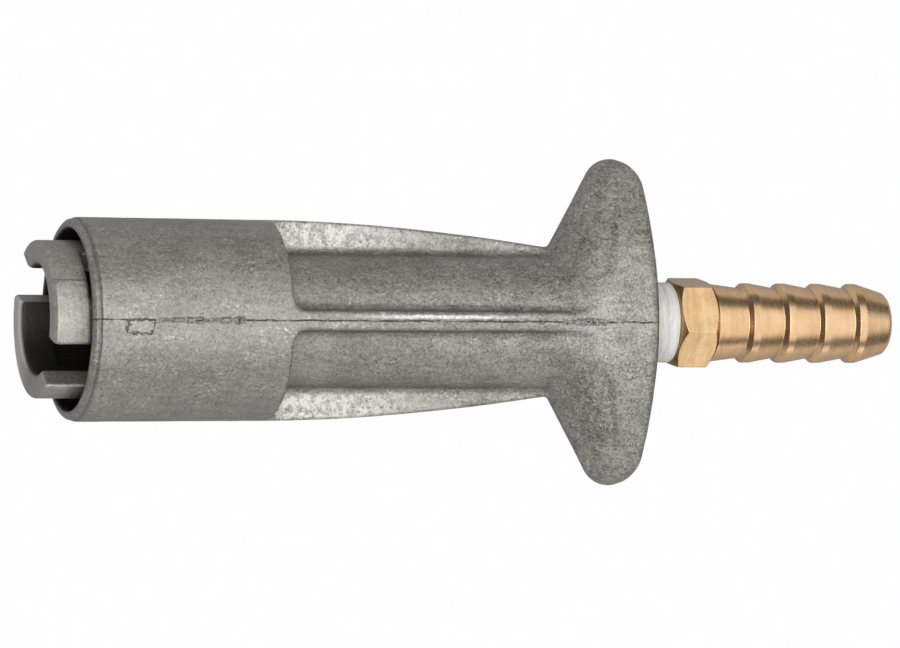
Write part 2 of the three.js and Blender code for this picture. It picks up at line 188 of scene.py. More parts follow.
def skin(field, low, high, step):
    """Points and quads of the zero surface of a distance field, with one point in each crossed cell."""
    axes = [np.arange(low[i], high[i] + step, step) for i in range(3)]
    value = field(*np.meshgrid(*axes, indexing="ij"))
    shape = np.array(value.shape)
    strides = np.array([shape[1] * shape[2], shape[2], 1])
    total = np.zeros((value.size, 3))
    count = np.zeros(value.size)
    quads = []
    for axis in range(3):
        ahead = np.diff(np.sign(value), axis=axis) != 0
        edge = np.argwhere(ahead)
        others = [i for i in range(3) if i != axis]
        inner = np.all(edge[:, others] > 0, axis=1)
        edge = edge[inner]
        far = edge.copy()
        far[:, axis] += 1
        near_value = value[tuple(edge.T)]
        far_value = value[tuple(far.T)]
        share = near_value / (near_value - far_value)
        crossing = edge.astype(float)
        crossing[:, axis] += share
        cells = []
        for back_a, back_b in ((0, 0), (1, 0), (1, 1), (0, 1)):
            cell = edge.copy()
            cell[:, others[0]] -= back_a
            cell[:, others[1]] -= back_b
            flat = cell @ strides
            np.add.at(total, flat, crossing)
            np.add.at(count, flat, 1)
            cells.append(flat)
        quad = np.stack(cells, axis=1)
        outward = (near_value < 0) != (axis == 1)
        quad[~outward] = quad[~outward][:, ::-1]
        quads.append(quad)
    quads = np.concatenate(quads)
    used, corners = np.unique(quads, return_inverse=True)
    points = np.array(low) + step * total[used] / count[used, None]
    return settle(field, points, step), corners.reshape(-1, 4)


def settle(field, points, step):
    """Moves points onto the zero surface of a distance field."""
    nudge = step * 0.2
    for _ in range(2):
        here = field(*points.T)
        slope = np.stack([
            field(*(points + nudge * axis).T) - field(*(points - nudge * axis).T)
            for axis in np.eye(3)
        ], axis=1) / (2 * nudge)
        steepness = np.maximum((slope ** 2).sum(axis=1), 0.25)
        move = slope * (here / steepness)[:, None]
        points = points - np.clip(move, -step / 2, step / 2)
    return points


def spin(profile, segments, reshape=None):
    """Points and quads of a closed loop of (station, radius) points spun about the fuel axis.

    reshape(station, radius, angle) may give each point another station and radius.
    """
    loop = np.array(profile, float)
    angle = np.linspace(0, 2 * math.pi, segments, endpoint=False)
    station, turn = np.meshgrid(loop[:, 0], angle, indexing="ij")
    radius = np.repeat(loop[:, 1:], segments, axis=1)
    if reshape is not None:
        station, radius = reshape(station, radius, turn)
    points = np.stack([station, radius * np.cos(turn), radius * np.sin(turn)], axis=-1)
    row = np.arange(len(loop))[:, None] * segments
    next_row = np.roll(row, -1)
    column = np.arange(segments)[None, :]
    next_column = np.roll(column, -1)
    quads = np.stack([row + column, next_row + column, next_row + next_column,
                      row + next_column], axis=-1)
    return points.reshape(-1, 3), quads.reshape(-1, 4)


def rounded(corners, radius, steps=4):
    """A closed loop with each corner replaced by a small curve of about the given radius."""
    loop = np.array(corners, float)
    out = []
    for i, corner in enumerate(loop):
        before = loop[i - 1] - corner
        after = loop[(i + 1) % len(loop)] - corner
        reach_a = min(radius, 0.45 * np.linalg.norm(before))
        reach_b = min(radius, 0.45 * np.linalg.norm(after))
        start = corner + before / np.linalg.norm(before) * reach_a
        end = corner + after / np.linalg.norm(after) * reach_b
        for t in np.linspace(0, 1, steps + 1):
            out.append((1 - t) ** 2 * start + 2 * t * (1 - t) * corner + t * t * end)
    return np.array(out)


def subdivided(loop, longest):
    """A closed loop with extra points so that no side is longer than the given length."""
    out = []
    for i, point in enumerate(loop):
        step = loop[(i + 1) % len(loop)] - point
        pieces = max(1, math.ceil(np.linalg.norm(step) / longest))
        out.extend(point + step * n / pieces for n in range(pieces))
    return np.array(out)


def waves(x, y, z, size, seed, octaves=3):
    """Smooth repeatable unevenness between about -1 and 1, with features of about the given size."""
    draw = np.random.default_rng(seed)
    total = np.zeros_like(x)
    weight = 1.0
    for _ in range(octaves):
        for _ in range(4):
            direction = draw.normal(size=3)
            direction *= 2 * math.pi / (size * np.linalg.norm(direction))
            phase = draw.uniform(0, 2 * math.pi)
            wobble = np.sin(1.7 * (direction[1] * x + direction[2] * y + direction[0] * z) + phase)
            total += weight * np.sin(
                direction[0] * x + direction[1] * y + direction[2] * z + phase + wobble) / 4
        size *= 0.45
        weight *= 0.55
    return total


# Body casting --------------------------------------------------------------------------------

def outer_radius(station):
    """Radius of the shroud, and behind it of the four rib crests."""
    draft = SHROUD_DRAFT * np.clip((station - SHROUD_FRONT) / (SHROUD_REAR - SHROUD_FRONT), 0, 1)
    start = SHROUD_RADIUS - SHROUD_DRAFT
    t = np.clip((station - SHROUD_REAR) / (NECK - SHROUD_REAR), 0, None)
    crest = start - (start - RIB_END_RADIUS) * t ** 1.75
    return np.where(station < SHROUD_REAR, SHROUD_RADIUS - draft, crest)


def shroud_and_ribs(station, rho, span, depth):
    """The shroud and the ribs that run on behind it, flush with it and filleted where they meet."""
    outside = rho - outer_radius(station)
    side = np.minimum(span, depth) - RIB_HALF - RIB_SIDE_DRAFT * np.clip(-outside, 0, 6)
    plan = smooth_min(station - SHROUD_REAR, side, 2.2)
    body = smooth_max(outside, plan, 0.4)
    body = np.maximum(body, station - RIB_ROOT)
    body = smooth_max(body, SHROUD_FRONT - station, 1.3)
    crease = np.hypot(station - SHROUD_FRONT - LIP_LENGTH, outside) - CREASE_RADIUS
    return smooth_max(body, -crease, 0.2)


def wing_field(station, span, depth):
    """The two grip wings: span is the distance out along the wings and depth the height above them."""
    centre = WING_SPAN - WING_TIP_RADIUS
    from_tip = station - WING_TIP_STATION
    above_tip = span - centre
    tip = np.hypot(from_tip, above_tip) - WING_TIP_RADIUS
    sine, cosine = math.sin(WING_SLOPE), math.cos(WING_SLOPE)
    slope = -cosine * from_tip + sine * above_tip - WING_TIP_RADIUS
    front = np.where(sine * from_tip + cosine * above_tip > 0, tip, slope)
    rear = CASTING_REAR - REAR_DRAFT - WING_TIP_STATION
    round_back = np.hypot(from_tip * WING_TIP_RADIUS / rear, above_tip) - WING_TIP_RADIUS
    back = np.where(above_tip > 0, round_back, from_tip - rear - REAR_DRAFT * (1 - span / centre))
    plan = np.where(from_tip < 0, front, back)
    bulge = HUB_HALF * (1 - (span / WING_VANISH) ** 2)
    face = (depth - bulge) / np.hypot(1, 2 * HUB_HALF * span / WING_VANISH ** 2)
    towards_back = np.clip((station - ROUNDING_CHANGE) / ROUNDING_RUN, 0, 1)
    towards_back = towards_back * towards_back * (3 - 2 * towards_back)
    most = WING_FRONT_ROUNDING - (WING_FRONT_ROUNDING - WING_BACK_ROUNDING) * towards_back
    rounding = np.clip(1.2 * bulge, 0.3, most)
    return smooth_max(plan, face, rounding)


def bore_field(station, rho):
    """Everything hollow behind the shroud's cavity, from the collar's seat to the pipe thread."""
    thread_radius = THREAD_FRONT_RADIUS + THREAD_TAPER * (station - THREAD_FRONT)
    hollow = np.maximum(rho - thread_radius, THREAD_FRONT - station)
    for front, rear, radius in INNER_BORES:
        hollow = np.minimum(hollow, np.maximum(rho - radius, np.maximum(front - station, station - rear)))
    return hollow


def casting_field(station, y, z):
    rho = np.hypot(y, z)
    span, depth = np.abs(y), np.abs(z)
    core = np.maximum(rho - CORE_RADIUS, np.maximum(CORE_FRONT - station, station - CASTING_REAR + 1))
    body = smooth_min(core, shroud_and_ribs(station, rho, span, depth), 1.1)
    body = smooth_min(body, wing_field(station, span, depth), 0.9)
    body += 0.02 * waves(station, y, z, 9.0, seed=3, octaves=2)
    cavity = np.maximum(rho - CAVITY_RADIUS, station - CAVITY_REAR)
    body = smooth_max(body, -cavity, 0.45)
    body = smooth_max(body, -bore_field(station, rho), 0.3)
    along_groove = np.abs(station - RING_GROOVE_STATION) - RING_GROOVE_HALF
    ring_groove = np.maximum(along_groove, np.abs(rho - CAVITY_RADIUS) - RING_GROOVE_DEPTH)
    return np.maximum(body, -ring_groove)


def body_casting():
    margin = 1.0
    points, quads = skin(casting_field, CASTING_LOW - margin, CASTING_HIGH + margin, 0.32)
    points = np.clip(points, CASTING_LOW + 0.001, CASTING_HIGH - 0.001)
    return add_mesh("casting_skin", points, quads)


# Bayonet collar ------------------------------------------------------------------------------

def turned_from(clock, start):
    """Signed angle from one clock angle to another, within half a turn."""
    return (clock - start + math.pi) % (2 * math.pi) - math.pi


def beyond_leaning_wall(y, z):
    """Distance past the leaning side wall of the slot."""
    inner = SOCKET_RADIUS * np.array([math.cos(SLOT_LEANING_INNER), math.sin(SLOT_LEANING_INNER)])
    outer = COLLAR_RADIUS * np.array([math.cos(SLOT_LEANING_OUTER), math.sin(SLOT_LEANING_OUTER)])
    along = (outer - inner) / np.linalg.norm(outer - inner)
    return along[0] * (z - inner[1]) - along[1] * (y - inner[0])


def slot_field(station, y, z):
    """One J-shaped slot: an open mouth, the branch behind the finger, and its detent."""
    rho = np.hypot(y, z)
    off = turned_from(np.arctan2(z, y), SLOT_RADIAL_WALL)
    this_side = (off - math.pi / 2) * rho
    mouth = np.maximum(np.maximum(-off * rho, beyond_leaning_wall(y, z)), this_side)
    mouth = np.maximum(mouth, station - BRANCH_REAR)
    ends = np.maximum(off - 0.3, -LOCK_TURN - off) * rho
    branch = np.maximum(ends, np.maximum(BRANCH_FRONT - station, station - BRANCH_REAR))
    detent_ends = np.maximum(off + LOCK_TURN - DETENT_TURN, -LOCK_TURN - off) * rho
    detent = np.maximum(detent_ends, np.maximum(BRANCH_FRONT - DETENT - station, station - BRANCH_REAR + 1))
    return smooth_min(smooth_min(mouth, branch, 0.4), detent, 0.3)


def collar_outside(station, y, z):
    """Distance outside the collar's round wall, which stands out a little at the two raised pads."""
    rho = np.hypot(y, z)
    outside = rho - (COLLAR_RADIUS - PAD_HEIGHT)
    for side in (1, -1):
        off = turned_from(np.arctan2(side * z, side * y), SLOT_RADIAL_WALL)
        pad_ends = np.maximum(off - 0.2, -PAD_TURN - off) * rho
        pad = np.maximum(pad_ends, np.maximum(PAD_FRONT - station, station - BRANCH_FRONT - 1))
        outside = np.minimum(outside, smooth_max(rho - COLLAR_RADIUS, pad, 0.12))
    return outside


def collar_field(station, y, z):
    rho = np.hypot(y, z)
    inside = SOCKET_RADIUS - rho
    tube = smooth_max(smooth_max(collar_outside(station, y, z), -station, 0.45), inside, 0.25)
    tube = smooth_max(tube, SOCKET_RADIUS + SOCKET_LEAD_IN - station - rho, 0.3)
    flange = np.maximum(rho - FLANGE_RADIUS, np.abs(station - FLANGE_STATION) - FLANGE_HALF)
    body = smooth_min(np.maximum(tube, station - COLLAR_TUBE_REAR), np.maximum(flange, inside), 0.3)
    spigot = np.maximum(rho - SPIGOT_RADIUS, np.maximum(SPIGOT_FRONT - station, station - COLLAR_HIGH[0]))
    body = np.minimum(body, spigot)
    plunger_bore = np.maximum(rho - PLUNGER_BORE_RADIUS, PLUNGER_BORE_FRONT - station)
    socket = np.maximum(rho - SOCKET_RADIUS, station - SOCKET_REAR)
    body = np.maximum(body, -np.minimum(plunger_bore, socket))
    for side in (1, -1):
        body = smooth_max(body, -slot_field(station, side * y, side * z), 0.5)
    return body


def bayonet_collar():
    margin = 0.6
    points, quads = skin(collar_field, COLLAR_LOW - margin, COLLAR_HIGH + margin, 0.2)
    points = np.clip(points, COLLAR_LOW + 0.001, COLLAR_HIGH - 0.001)
    return add_mesh("collar_skin", points, quads)


# Hose fitting and tape -----------------------------------------------------------------------

HEX_FRONT, HEX_REAR = 88.75, 94.45
HEX_FLAT = 11.11 / 2
HEX_CORNER = HEX_FLAT / math.cos(math.pi / 6)
HEX_CLOCK = math.radians(41)
BARB_CREST, BARB_ROOT, BARB_END = 5.4, 4.73, 4.2
BARB_BORE = 3.1
BARB_STATIONS = [HEX_REAR + 5.05 + 5.13 * i for i in range(4)]
BARB_LAND = 0.9
BARB_STEP = 0.6
HEX_SETBACK = 0.85
HEX_FACE_RADIUS = HEX_FLAT - 0.45
HEX_BROKEN = 0.06  # taken off the hexagon's sharp corners
SHANK_RADIUS = 5.08
SHANK_FRONT_RADIUS = 4.75
BARB_SHOULDER = 5.3
FITTING_END = FITTING_HIGH[0]


def barb_outline():
    """Outside of the barbs from the hexagon to the hose end."""
    points = [(HEX_REAR, BARB_SHOULDER)]
    for station in BARB_STATIONS:
        points += [(station - BARB_STEP, BARB_ROOT), (station - 0.1, BARB_CREST)]
        points += [(station + BARB_LAND, BARB_CREST - 0.02)]
    points += [(FITTING_END - 0.45, BARB_END + 0.02), (FITTING_END, BARB_END - 0.5)]
    return points


def hex_radius(turn):
    """Distance from the axis to the hexagon's side, with its corners just broken."""
    within = (turn - HEX_CLOCK) % (math.pi / 3) - math.pi / 6
    return np.minimum(HEX_FLAT / np.cos(within), HEX_CORNER - HEX_BROKEN)


def hose_barb_fitting():
    shank_front = FITTING_LOW[0]
    turned = [
        (shank_front, BARB_BORE), (shank_front, SHANK_FRONT_RADIUS - 0.35),
        (shank_front + 0.4, SHANK_FRONT_RADIUS), (CASTING_REAR, SHANK_RADIUS),
        (HEX_FRONT, SHANK_RADIUS), (HEX_FRONT, HEX_FACE_RADIUS),
        (HEX_FRONT + HEX_SETBACK, HEX_CORNER),
        (HEX_REAR - HEX_SETBACK, HEX_CORNER), (HEX_REAR, HEX_FACE_RADIUS),
    ] + barb_outline() + [(FITTING_END, BARB_BORE)]
    loop = subdivided(rounded(turned, 0.1, 3), 0.25)

    def on_hexagon(station, radius, turn):
        """Shrinks the chamfered disc onto the hexagon, so that its edges follow the chamfers."""
        share = (hex_radius(turn) - HEX_FACE_RADIUS) / (HEX_CORNER - HEX_FACE_RADIUS)
        half = (HEX_REAR - HEX_FRONT) / 2
        off = station - HEX_FRONT - half
        flat = half - HEX_SETBACK
        on_chamfer = np.sign(off) * (half - (half - np.abs(off)) * share)
        moved = np.where(np.abs(off) > flat, on_chamfer, off * (half - HEX_SETBACK * share) / flat)
        on_hex = (np.abs(off) < half + 0.001) & (radius > HEX_FACE_RADIUS)
        shrunk = HEX_FACE_RADIUS + (radius - HEX_FACE_RADIUS) * share
        return (np.where(on_hex, HEX_FRONT + half + moved, station), np.where(on_hex, shrunk, radius))

    points, quads = spin(loop, 360, on_hexagon)
    return add_mesh("fitting_turned", points, quads, math.radians(24))


def thread_tape():
    inner = 5.13
    front, rear = TAPE_LOW[0], TAPE_HIGH[0]
    outside = TAPE_HIGH[1]
    loop = [
        (front, inner - 0.15), (front, inner), (CASTING_REAR - 0.1, inner + 0.14),
        (CASTING_REAR + 0.05, outside - 0.05), (CASTING_REAR + 0.5, outside - 0.02),
        (rear - 0.3, outside - 0.03), (rear, outside - 0.1), (rear, inner), (CASTING_REAR, inner),
    ]
    loop = subdivided(np.array(loop, float), 0.07)

    def wrapped(station, radius, turn):
        shown = (station > CASTING_REAR + 0.04) & (radius > inner + 0.15)
        lap = (station - CASTING_REAR) / 0.62 - turn / (2 * math.pi)
        layer = lap - np.floor(lap)
        crease = waves(station * 2.5, radius * np.cos(turn), radius * np.sin(turn), 2.2, seed=8)
        uneven = 0.05 * (layer - 1) + 0.018 * (crease - 1)
        return station, np.where(shown, radius + uneven, radius)

    points, quads = spin(loop, 256, wrapped)
    return add_mesh("tape_winding", points, quads)


# Sprung seal and valve -----------------------------------------------------------------------

def turned_piece(name, corners, rounding=0.12, segments=160, longest=1.0):
    loop = subdivided(rounded(corners, rounding, 3), longest)
    points, quads = spin(loop, segments)
    return add_mesh(name, points, quads, math.radians(35))


def seal_plunger():
    front, rear = PLUNGER_LOW[0], PLUNGER_HIGH[0]
    return turned_piece("plunger_turned", [
        (front, 2.4), (front, 3.6), (front + 1.8, 3.6), (front + 1.8, 5.6), (front, 5.6),
        (front, 5.85), (front + 0.5, 6.35), (front + 14.1, 6.35), (front + 14.1, 7.5),
        (front + 16.2, 7.5), (front + 16.2, 5.8), (front + 18.4, 5.8), (front + 18.4, 7.5),
        (rear, 7.5), (rear, 4.4), (rear - 0.7, 4.4), (rear - 0.7, 4.9), (rear - 1.5, 4.9),
        (rear - 1.5, 4.4), (front + 4.5, 4.4), (front + 3, 2.4),
    ], rounding=0.08)


def face_seal():
    low, high = extent("face_seal")
    outer = high[1]
    inner = outer - 1.9
    return turned_piece("face_seal_rubber", [
        (low[0], inner + 0.35), (low[0], outer - 0.35), (low[0] + 0.5, outer), (high[0], outer),
        (high[0], inner), (low[0] + 0.5, inner),
    ], rounding=0.4)


def rubber_ring(node):
    """A rubber ring of round section in the place of a CAD ring."""
    low, high = extent(node)
    section = (high[0] - low[0]) / 2
    pitch = high[1] - section
    centre = (low[0] + high[0]) / 2
    turn = np.linspace(0, 2 * math.pi, 24, endpoint=False)
    loop = np.stack([centre + section * np.cos(turn), pitch + section * np.sin(turn)], axis=1)
    points, quads = spin(loop[::-1], 128)
    return add_mesh(node + "_round", points, quads)


def valve_poppet():
    low, high = extent("valve_poppet")
    front, rear = low[0], high[0]
    pin = 0.02
    return turned_piece("poppet_turned", [
        (front, pin), (front, 0.9), (front + 0.3, 1.2), (front + 2.7, 1.2), (front + 2.7, 1.95),
        (front + 4.35, 1.95), (front + 4.35, 3.6), (front + 6, 3.6), (front + 6, 1.2),
        (rear - 0.3, 1.2), (rear, 0.9), (rear, pin),
    ], rounding=0.06, segments=96)


def drilled_retainer():
    low, high = extent("valve_spring_retainer")
    outer, inner = high[1], 1.25

    def disc(station, y, z):
        rho = np.hypot(y, z)
        body = smooth_max(np.maximum(rho - outer, inner - rho),
                          np.maximum(low[0] - station, station - high[0]), 0.15)
        for i in range(6):
            angle = i * math.pi / 3
            hole = np.hypot(y - 3.1 * math.cos(angle), z - 3.1 * math.sin(angle)) - 0.7
            body = smooth_max(body, -hole, 0.12)
        return body

    points, quads = skin(disc, low - 0.4, high + 0.4, 0.12)
    return add_mesh("retainer_drilled", np.clip(points, low, high), quads)


def coil(node, wire, turns):
    """A compression spring with closed ends in the place of a CAD spring."""
    low, high = extent(node)
    front, rear = low[0] + wire, high[0] - wire
    pitch = high[1] - wire - 0.02
    steps = int(turns * 48)
    t = np.linspace(0, 1, steps + 1)
    squeeze = 0.12
    ease = np.clip((t - squeeze) / (1 - 2 * squeeze), 0, 1)
    closed = 2 * wire * 0.98
    end_rise = closed * np.minimum(t, squeeze) / squeeze * (squeeze * turns)
    end_rise_back = closed * np.maximum(t - 1 + squeeze, 0) / squeeze * (squeeze * turns)
    middle = rear - front - 2 * closed * squeeze * turns
    along = front + end_rise + end_rise_back + middle * ease
    angle = 2 * math.pi * turns * t
    centre = np.stack([along, pitch * np.cos(angle), pitch * np.sin(angle)], axis=1)
    forward = np.gradient(centre, axis=0)
    forward /= np.linalg.norm(forward, axis=1)[:, None]
    outward = np.stack([np.zeros_like(t), np.cos(angle), np.sin(angle)], axis=1)
    sideways = np.cross(forward, outward)
    sides = 12
    around = np.linspace(0, 2 * math.pi, sides, endpoint=False)
    ring = (outward[:, None] * np.cos(around)[:, None] + sideways[:, None] * np.sin(around)[:, None])
    points = (centre[:, None] + wire * ring).reshape(-1, 3)
    row = np.arange(steps)[:, None] * sides
    column = np.arange(sides)[None, :]
    next_column = np.roll(column, -1)
    quads = np.stack([row + column, row + next_column, row + sides + next_column,
                      row + sides + column], axis=-1).reshape(-1, 4).tolist()
    last = steps * sides
    caps = [list(range(sides))[::-1], list(range(last, last + sides))]
    return add_mesh(node + "_coil", points, quads + caps, math.radians(40))


def open_ring(node, thickness, opening, middle):
    """A snap ring with rounded edges in the place of a CAD ring; its opening is at a clock angle."""
    low, high = extent(node)
    outer = max(abs(low[1:]).max(), abs(high[1:]).max())

    def ring(station, y, z):
        rho = np.hypot(y, z)
        off = np.abs(turned_from(np.arctan2(z, y), middle))
        band = np.maximum(rho - outer, outer - thickness - rho)
        faces = np.maximum(low[0] - station, station - high[0])
        return smooth_max(smooth_max(band, faces, 0.2), (opening / 2 - off) * rho, 0.2)

    points, quads = skin(ring, low - 0.3, high + 0.3, 0.14)
    return add_mesh(node + "_wire", np.clip(points, low, high), quads)


def dowel(node):
    low, high = extent(node)
    radius = (high[1] - low[1]) / 2
    middle = (low + high) / 2
    pin = 0.02
    corners = [(low[0], pin), (low[0], radius - 0.15), (low[0] + 0.15, radius),
               (high[0] - 0.15, radius), (high[0], radius - 0.15), (high[0], pin)]
    points, quads = spin(rounded(corners, 0.05, 2), 40)
    points[:, 1:] += middle[1:]
    return add_mesh(node + "_pin", points, quads, math.radians(35))


# Materials -----------------------------------------------------------------------------------

class Nodes:
    """A short way to write a material's node tree."""

    def __init__(self, name):
        self.material = bpy.data.materials.new(name)
        self.material.use_nodes = True
        self.tree = self.material.node_tree
        self.shader = self.tree.nodes["Principled BSDF"]
        self.place = self.new("ShaderNodeTexCoord").outputs["Object"]

    def new(self, kind, inputs=None, **settings):
        node = self.tree.nodes.new(kind)
        for key, value in settings.items():
            setattr(node, key, value)
        for key, value in (inputs or {}).items():
            self.set(node.inputs[key], value)
        return node

    def set(self, socket, value):
        if isinstance(value, bpy.types.NodeSocket):
            self.tree.links.new(value, socket)
        else:
            socket.default_value = value

    def noise(self, size_mm, detail=4.0, rough=0.6, stretch=(1, 1, 1), distortion=0.0):
        """Noise with features of about the given size, between 0 and 1.

        It is moved away from the origin, where every layer of a noise has a plane of its lattice.
        """
        mapping = self.new("ShaderNodeMapping", {
            "Vector": self.place, "Location": (0.9, 0.7, 0.5), "Scale": stretch})
        node = self.new("ShaderNodeTexNoise", {
            "Vector": mapping.outputs[0], "Scale": 1 / (size_mm * MM), "Detail": detail,
            "Roughness": rough, "Distortion": distortion})
        return node.outputs["Fac"]

    def math(self, operation, a, b=0.0, clamp=False):
        node = self.new("ShaderNodeMath", operation=operation, use_clamp=clamp)
        self.set(node.inputs[0], a)
        self.set(node.inputs[1], b)
        return node.outputs[0]

    def ramp(self, value, low, high, to_low=0.0, to_high=1.0):
        node = self.new("ShaderNodeMapRange", {
            "Value": value, "From Min": low, "From Max": high, "To Min": to_low, "To Max": to_high})
        return node.outputs[0]

    def mix(self, factor, a, b):
        node = self.new("ShaderNodeMix", data_type="RGBA")
        self.set(node.inputs[0], factor)
        self.set(node.inputs[6], a)
        self.set(node.inputs[7], b)
        return node.outputs[2]

    def bump(self, layers):
        """Chains (height, depth in mm) layers into one normal."""
        normal = None
        for height, depth_mm in layers:
            node = self.new("ShaderNodeBump", {"Height": height, "Distance": depth_mm * MM})
            if normal is not None:
                self.set(node.inputs["Normal"], normal)
            normal = node.outputs[0]
        self.set(self.shader.inputs["Normal"], normal)

    def axes(self):
        """Distances in millimetres: along the casting as a station, and across it as y and z."""
        x, y, z = self.new("ShaderNodeSeparateXYZ", {"Vector": self.place}).outputs
        station = self.math("SUBTRACT", self.math("DIVIDE", x, MM), FRONT)
        return station, self.math("DIVIDE", y, MM), self.math("DIVIDE", z, MM)

    def radius(self):
        """Distance from the fuel axis in millimetres."""
        _, y, z = self.axes()
        squares = self.math("ADD", self.math("MULTIPLY", y, y), self.math("MULTIPLY", z, z))
        return self.math("SQRT", squares)

    def window(self, value, low, high, edge):
        """One between two values, falling to nothing over an edge."""
        rise = self.ramp(value, low - edge, low)
        fall = self.ramp(value, high, high + edge, 1.0, 0.0)
        return self.math("MULTIPLY", rise, fall)

    def finish(self, **inputs):
        for key, value in inputs.items():
            self.set(self.shader.inputs[key.replace("_", " ")], value)
        return self.material


def grey(level, warmth=0.0):
    return (level * (1 + warmth), level * (1 + warmth * 0.6), level * (1 - warmth), 1)


def mottled(n, level, contrast, painted_glint_strength):
    """Colour and bump layers of bare die-cast metal: oxide clouds, streaks, grain, pits, and painted
    highlights in bright flecks.
    """
    clouds = n.noise(6.0, 6, 0.68)
    patches = n.noise(0.9, 5, 0.75, distortion=0.6)
    grain = n.noise(0.36, 3, 0.8)
    fine = n.noise(0.2, 2, 0.8)
    drag = n.noise(0.9, 5, 0.7, stretch=(0.22, 1, 1))
    tone = n.math("MULTIPLY", clouds, 0.16)
    for layer, share in ((patches, 0.2), (grain, 0.34), (fine, 0.18), (drag, 0.12)):
        tone = n.math("ADD", tone, n.math("MULTIPLY", layer, share))
    tone = n.math("SUBTRACT", n.ramp(tone, 0.42, 0.58), 0.5)
    tone = n.math("ADD", n.math("MULTIPLY", tone, contrast), 0.5, clamp=True)
    color = n.mix(tone, grey(level * 0.42, 0.07), grey(level * 1.62, 0.06))
    pits = n.ramp(n.noise(0.55, 3, 0.6), 0.37, 0.29)
    color = n.mix(n.math("MULTIPLY", pits, 0.6), color, grey(level * 0.2, 0.06))
    # Painted highlights: small bright flecks, gathered in clusters, mixed towards a very light grey.
    cluster = n.ramp(n.noise(4.0, 3, 0.6), 0.46, 0.62)
    painted_glints = n.math("MULTIPLY", n.ramp(n.noise(0.45, 3, 0.8), 0.56, 0.66), cluster)
    color = n.mix(n.math("MULTIPLY", painted_glints, painted_glint_strength), color, grey(level * 2.6, 0.04))
    rough = n.ramp(n.math("ADD", patches, grain), 0.7, 1.3, 0.38, 0.6)
    return color, [(clouds, 0.12), (patches, 0.09), (grain, 0.06)], rough


def painted_light_on_rib_sides(n, level, color):
    """Painted highlight on the flat sides of the two level ribs, which face the camera: lighter in flecks
    just behind the shroud.
    """
    station, y, z = n.axes()
    level_rib = n.ramp(n.math("ABSOLUTE", z), RIB_HALF + 0.8, RIB_HALF + 1.6, 1.0, 0.0)
    far_out = n.ramp(n.math("ABSOLUTE", y), CORE_RADIUS + 0.3, CORE_RADIUS + 1.0)
    behind_shroud = n.window(station, SHROUD_REAR + 0.2, SHROUD_REAR + 12, 14)
    share = n.math("MULTIPLY", n.math("MULTIPLY", level_rib, far_out), behind_shroud)
    highlight_flecks = n.math("ADD", n.noise(0.28, 3, 0.8), n.noise(1.1, 3, 0.7))
    highlight_flecks = n.ramp(highlight_flecks, 0.88, 1.1, 0.0, 1.0)
    # Painted highlight: the rib sides are mixed towards a much lighter grey.
    return n.mix(n.math("MULTIPLY", share, highlight_flecks), color, grey(level * 2.1, 0.03))


def lip_crease_with_painted_shade(n, level, color):
    """The crease behind the shroud's rounded lip, darkened with painted shade. Returns its height and the
    new colour.
    """
    station = n.axes()[0]
    lip = SHROUD_FRONT + LIP_LENGTH
    crease = n.math("MULTIPLY", n.window(station, lip - 0.05, lip + 0.05, 0.3),
                    n.ramp(n.radius(), CAVITY_RADIUS + 0.6, CAVITY_RADIUS + 0.9))
    # Painted shade: the colour in the crease is mixed towards a dark grey.
    return crease, n.mix(n.math("MULTIPLY", crease, 0.45), color, grey(level * 0.25, 0.05))


def seam_line(n, level, color, outside, seam_y, torn):
    """The seam with a ledge across it and a painted highlight beside it."""
    station = n.axes()[0]
    off = n.math("ABSOLUTE", seam_y)
    broken = n.ramp(n.noise(1.8, 4, 0.7, stretch=(1, 0.1, 0.1)), 0.40, 0.54, 0.15, 0.85)
    seam = n.math("MULTIPLY", n.math("MULTIPLY", n.ramp(off, 0.04, 0.13, 1.0, 0.0), outside), broken)
    ledge = n.math("MULTIPLY", n.ramp(seam_y, -0.05, 0.05), outside)
    # Painted highlight: a light strip beside the seam on the rib crest, mixed towards a very light grey.
    painted_seam_highlight = n.math("MULTIPLY", n.window(seam_y, *SEAM_HIGHLIGHT_ACROSS, 0.15),
                   n.window(station, *SEAM_HIGHLIGHT, 9))
    painted_seam_highlight = n.math("MULTIPLY", n.math("MULTIPLY", painted_seam_highlight, outside), n.ramp(torn, 0.4, 0.6, 0.5, 1.0))
    color = n.mix(painted_seam_highlight, color, grey(level * 2.9, 0.0))
    return seam, ledge, n.mix(seam, color, grey(level * 0.22, 0.05))


def seam_flash(n, level, color, outside, seam_y, torn):
    """Rough flash on the seam, on the side that faces up."""
    station, _, z = n.axes()
    run = n.math("ADD", n.window(station, *SHROUD_FLASH, 0.8), n.window(station, *HUB_FLASH, 0.6))
    width = n.ramp(n.noise(2.2, 4, 0.7, stretch=(1, 0.1, 0.1)), 0.38, 0.62, 0.0, 0.42)
    off = n.math("ABSOLUTE", seam_y)
    band = n.ramp(n.math("SUBTRACT", off, width), -0.22, 0.22, 1.0, 0.0)
    band = n.math("MULTIPLY", band, outside)
    flash = n.math("MULTIPLY", n.math("MULTIPLY", run, band), n.ramp(z, 0, 1))
    rough_metal = n.mix(n.ramp(torn, 0.42, 0.56), grey(level * 0.3, 0.05), grey(level * 2.6, 0.02))
    return flash, n.mix(n.math("MULTIPLY", flash, 0.7), color, rough_metal)


